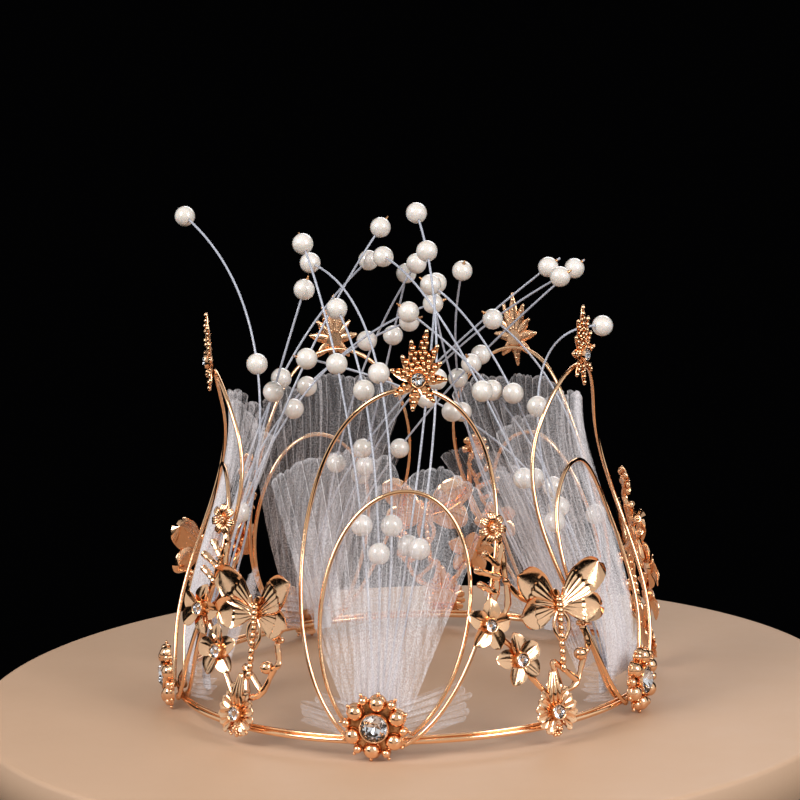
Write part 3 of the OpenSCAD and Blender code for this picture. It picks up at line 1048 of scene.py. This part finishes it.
def fan_grid(rng, left, right, near, far, depth_in, pleats, foot, slope=0, jag=1.6, dip=0):
    """A pleated fan as rows of points out along its reach, from angle left to angle right. Its
    pleats stand either side of its own surface, depth_in, and are wide even at the gathered foot.
    Its edge slopes, goes up and down by jag at each pleat, and has one notch, dip deep. Each fold
    has a rounded end."""
    number = np.arange(2 * pleats + 1)
    widths = rng.uniform(0.6, 1.4, 2 * pleats)
    corners = np.concatenate([[0], np.cumsum(widths)]) / widths.sum()
    at = np.linspace(0, 2 * pleats, 2 * pleats * STEPS_PER_FOLD + 1)
    position = np.interp(at, number, corners)[None]
    side = np.interp(at, number, np.where(number % 2, 1.0, -1.0))[None]
    lean = np.interp(at, number, rng.uniform(-1, 1, len(number)))[None]
    steps = rng.uniform(-jag, jag, pleats + 1)[np.clip((number + 1) // 2, 0, pleats)]
    edge = np.interp(at, number, steps)[None] + 0.6 * (1 - side**2) - slope * (position - 0.5)
    edge = edge - 3.5 * np.abs(2 * position - 1) ** 4
    edge = edge - dip * np.exp(-((position - 0.6) / 0.06) ** 2)
    s = np.linspace(0, 1, FAN_ROWS)[:, None]
    reach = near + (far - near - 1.5 + edge * s**2) * s
    angle = np.radians(left + (right - left) * position + 0.9 * lean * s)
    middle = foot * (2 * position - 1) * (1 - s) ** 1.3
    way = math.radians((left + right) / 2)
    h = FAN_Z - HOOP_Z + reach * np.cos(angle) - middle * math.sin(way)
    x = reach * np.sin(angle) + middle * math.cos(way)
    depth = PLEAT_DEPTH * side * (0.45 + 0.55 * s) * (1 + 0.25 * lean)
    ripple = 0.3 * np.sin(9 * position + 2.5 * s + 3 * lean) * s * (1 - 0.5 * s)
    points = wrap(x, h, HOOP_R - depth_in(h) - depth + ripple)
    gaps = np.linalg.norm(np.diff(points, axis=1), axis=2)
    across = np.concatenate([np.zeros((len(s), 1)), np.cumsum(gaps, axis=1)], axis=1)
    cloth = np.stack([across - across[:, -1:] / 2, reach], axis=-1)
    return points, cloth, np.stack([side + 0 * s, s + 0 * side], axis=-1)


def add_map(mesh, name, values, faces):
    uv = mesh.uv_layers.new(name=name)
    uv.data.foreach_set("uv", values[faces.ravel()].astype(np.float32).ravel())


def make_tulle(name, i, fans, nets, rng):
    """One piece of tulle: its fans in one mesh, each of its own net."""
    points, faces, cloth, fold, kinds, start = [], [], [], [], [], 0
    for number, fan in enumerate(fans):
        grid, flat, sides = fan_grid(rng, **fan)
        rows, columns = grid.shape[:2]
        faces.append(grid_faces(rows, columns) + start)
        kinds.append(np.full(len(faces[-1]), number, dtype=np.int32))
        points.append(grid.reshape(-1, 3))
        cloth.append(flat.reshape(-1, 2))
        fold.append(sides.reshape(-1, 2))
        start += rows * columns
    points = moved(turn(PETAL_AZ[i]), np.concatenate(points)) * MM
    faces = np.concatenate(faces)
    mesh = bpy.data.meshes.new(name)
    mesh.from_pydata(points.tolist(), [], faces.tolist())
    mesh.polygons.foreach_set("use_smooth", np.ones(len(faces), bool))
    mesh.set_sharp_from_angle(angle=math.radians(35))
    add_map(mesh, "cloth", np.concatenate(cloth), faces)
    add_map(mesh, "fold", np.concatenate(fold), faces)
    for net in nets:
        mesh.materials.append(net)
    mesh.polygons.foreach_set("material_index", np.concatenate(kinds))
    piece = bpy.data.objects.new(name + "_cloth", mesh)
    bpy.context.scene.collection.objects.link(piece)
    stands_for(piece, name, "crown_frame")


def make_fans(i):
    """The front tulle, with its gathered inner layer and two side lobes, and the back tulle."""
    rng = np.random.default_rng(60 + i)
    left, right = FAN_LEFT[i], FAN_RIGHT[i]
    slope, dip = (6, 7) if i == 0 else (0, 2)
    pleats = round((right - left) * 0.36)
    front = dict(left=left - SPREAD_LEFT[i], right=right + SPREAD_RIGHT[i], near=3,
                 far=FAN_REACH[i] + 3, depth_in=front_in, pleats=pleats, foot=BASE_HALF_W,
                 slope=slope, dip=dip)
    bunch = dict(left=left * 0.6, right=right * 0.6, near=3, far=47, depth_in=bunch_in, pleats=9,
                 foot=6.0, slope=4)
    lobe = dict(near=5, depth_in=front_in, pleats=7, foot=4, jag=2.6)
    left_lobe = dict(lobe, left=-94, right=-60, far=24)
    right_lobe = dict(lobe, left=60, right=92, far=29)
    nets = [TULLE_FRONT, TULLE_BUNCH, TULLE_FRONT, TULLE_FRONT]
    make_tulle(f"tulle_front_{i + 1}", i, [front, bunch, left_lobe, right_lobe], nets, rng)
    back = dict(left=BACK_LEFT[i], right=BACK_RIGHT[i], near=4, far=BACK_REACH[i],
                depth_in=back_in, pleats=11, foot=7.0, dip=2)
    make_tulle(f"tulle_back_{i + 1}", i, [back], [TULLE_BACK], rng)


# ---- pearl sprays -------------------------------------------------------------------------

def from_petal(points):
    """From a petal's own frame, whose origin is on the hoop, to the frame of the crown."""
    return np.asarray(points, float) + [0, -HOOP_R, HOOP_Z]


def stem_curve(i, n, t):
    """Points at fractions t of a stem: one smooth bend from its root to its tip."""
    tip, control, _ = STEMS[i][n]
    side = (n - (len(STEMS[i]) - 1) / 2) * STEM_PITCH
    base = np.array(STEM_ROOT, float) + [side, 0, 0]
    t = np.atleast_1d(t)[:, None]
    bend = (1 - t) ** 2 * base + 2 * t * (1 - t) * np.array(control) + t**2 * np.array(tip)
    return from_petal(bend)


def along_axis(point, direction):
    """Stands a turned shape at a point with its axis along a direction."""
    turned = Vector(direction).to_track_quat("Z", "Y").to_matrix().to_4x4()
    return shift(*point) @ np.array(turned)


def pearl_shell(r):
    """A drilled bead: round, with a small lip and dimple where the thread passes."""
    tilt = np.concatenate([[0.05, 0.09, 0.13, 0.17, 0.22], np.linspace(0.3, np.pi - 0.3, 22),
                           np.pi - np.array([0.22, 0.17, 0.13, 0.09, 0.05])])
    pole = np.minimum(tilt, np.pi - tilt)
    radius = r - 0.35 * np.exp(-((pole / 0.12) ** 4))
    return lathe(np.column_stack([radius * np.sin(tilt), -radius * np.cos(tilt)]), 36)


def make_pearls(i):
    shape = Shape()
    place = turn(PETAL_AZ[i])
    for n, (_, _, fractions) in enumerate(STEMS[i]):
        for t in fractions:
            a, b = stem_curve(i, n, [t - 0.005, t + 0.005])
            centre = stem_curve(i, n, t)[0]
            shape.add(pearl_shell(PEARL_D / 2), place @ along_axis(centre, b - a))
    name = f"pearls_{i + 1}"
    stands_for(make_piece(name, shape, [PEARL]), name, f"pearl_spray_{i + 1}")


def binding_path(span):
    """Thread wound round the foot of a spray, up a stadium-shaped core."""
    turns, per_turn = 13, 28
    a = 2 * np.pi * np.arange(turns * per_turn) / per_turn
    z = -7.3 + 6.9 * np.arange(len(a)) / len(a)
    return np.stack([0.82 * np.cos(a) + np.sign(np.cos(a)) * span / 2, 0.82 * np.sin(a), z], -1)


def make_stems(i):
    shape = Shape()
    place = turn(PETAL_AZ[i])
    for n, (_, _, fractions) in enumerate(STEMS[i]):
        path = stem_curve(i, n, np.linspace(0, 1, 56))
        foot = path[:1] - [[0, 0, 5]]
        shape.add(tube(np.concatenate([foot, path]), STEM_D / 2, 10), place)
        a, b = stem_curve(i, n, [0.97, 0.99])
        ahead = (b - a) / np.linalg.norm(b - a)
        tip_pearl = stem_curve(i, n, fractions[-1])[0]
        shape.add(ball(tip_pearl + ahead * (PEARL_D / 2 + 0.1), 0.55, 1.0, 12, 8), place, 1)
        shape.add(tube([tip_pearl, tip_pearl + ahead * (PEARL_D / 2 + 1.0)], 0.3, 8), place, 1)
    span = (len(STEMS[i]) - 1) * STEM_PITCH
    root = from_petal([STEM_ROOT])[0]
    shape.add(tube(root + binding_path(span), 0.27, 8), place, 2)
    for side in np.linspace(-span / 2, span / 2, len(STEMS[i])):
        core = [root + [side, 0, -7.2], root + [side, 0, -0.5]]
        shape.add(tube(core, 0.62, 10), place, 2)
    name = f"pearl_stems_{i + 1}"
    piece = make_piece(name, shape, [NYLON, SOLDER_AND_SHADE, THREAD])
    stands_for(piece, name, f"pearl_spray_{i + 1}")


# ---- stage, lights and camera -------------------------------------------------------------

def make_floor():
    profile = [(0.5, -14), (139, -14), (140, -13), (140, -1.2), (139.2, -0.2), (138, 0), (0.5, 0)]
    shape = Shape()
    shape.add(lathe(profile, 160), shift(0, 0, floor_z))
    piece = make_piece("ground", shape, [floor_material()])


def make_light(name, position, aim, size, power, colour=(1, 1, 1)):
    data = bpy.data.lights.new(name, "AREA")
    data.shape = "RECTANGLE"
    data.size, data.size_y = size
    data.energy = power
    data.color = colour
    light = bpy.data.objects.new(name, data)
    light.location = position
    light.rotation_euler = (Vector(aim) - Vector(position)).to_track_quat("-Z", "Y").to_euler()
    bpy.context.scene.collection.objects.link(light)


def make_lights():
    middle = (0, 0, 0.07)
    make_light("left_softbox", (-0.55, -0.6, 0.62), middle, (0.34, 0.5), 6.2)
    make_light("right_softbox", (0.66, -0.55, 0.5), middle, (0.3, 0.5), 5.2)
    make_light("front_card", (0.2, -1.3, 0.9), middle, (2.3, 1.3), 5.2)
    make_light("left_card", (-1.2, -0.15, 0.5), middle, (1.5, 1.4), 4.4)
    make_light("right_card", (1.2, -0.2, 0.5), middle, (1.5, 1.4), 5.2)
    make_light("top_card", (0, -0.35, 1.3), middle, (1.8, 1.3), 3.2)
    make_light("low_card", (0.25, -1.15, 0.1), middle, (1.3, 0.3), 0.9, (1, 0.88, 0.76))
    make_light("back_softbox", (0.1, 0.75, 0.55), middle, (0.7, 0.3), 2.0, (0.96, 0.97, 1))
    world = bpy.data.worlds.new("studio")
    world.use_nodes = True
    world.node_tree.nodes["Background"].inputs["Color"].default_value = rgb(0.0007, 0.0007, 0.0008)
    bpy.context.scene.world = world


CAMERA_AZIMUTH = 8.6
CAMERA_ELEVATION = 15.5
CAMERA_DISTANCE = 0.85
CAMERA_PITCH = 5.93
CAMERA_YAW = -0.1
CAMERA_ROLL = -1.79
CAMERA_LENS = 118.25


def make_camera():
    a, e = math.radians(CAMERA_AZIMUTH), math.radians(CAMERA_ELEVATION)
    back = Vector((math.sin(a) * math.cos(e), -math.cos(a) * math.cos(e), math.sin(e)))
    data = bpy.data.cameras.new("camera")
    data.sensor_width = 36
    data.lens = CAMERA_LENS
    data.clip_start = 0.05
    camera = bpy.data.objects.new("camera", data)
    camera.location = Vector((0, 0, HOOP_Z * MM)) + back * CAMERA_DISTANCE
    aim = (-back).to_track_quat("-Z", "Y")
    up = Quaternion((1, 0, 0), math.radians(CAMERA_PITCH))
    yaw = Quaternion((0, 1, 0), math.radians(-CAMERA_YAW))
    roll = Quaternion((0, 0, 1), math.radians(CAMERA_ROLL))
    camera.rotation_mode = "QUATERNION"
    camera.rotation_quaternion = aim @ yaw @ up @ roll
    bpy.context.scene.collection.objects.link(camera)
    bpy.context.scene.camera = camera


floor_z = min(cad_box[0][2] / MM, 0.0)
make_hoop()
make_top_wire()
make_medallion_stones()
make_leaf_stones()
make_flower_stones()
for petal in range(5):
    make_arch(f"outer_arch_{petal + 1}", petal, OUTER_HALF_W, OUTER_H[petal],
              OUTER_LEAN[petal], OUTER_ARCH_OUT)
    make_arch(f"inner_arch_{petal + 1}", petal, INNER_HALF_W, INNER_H[petal],
              INNER_LEAN[petal], INNER_ARCH_OUT)
    make_leaf(petal)
    make_medallion(petal)
    make_branch(petal)
    make_butterfly(petal)
    make_fans(petal)
    make_stems(petal)
    make_pearls(petal)
make_floor()
make_lights()
make_camera()
bpy.context.scene.view_settings.view_transform = "Standard"
bpy.context.scene.cycles.transparent_max_bounces = 48
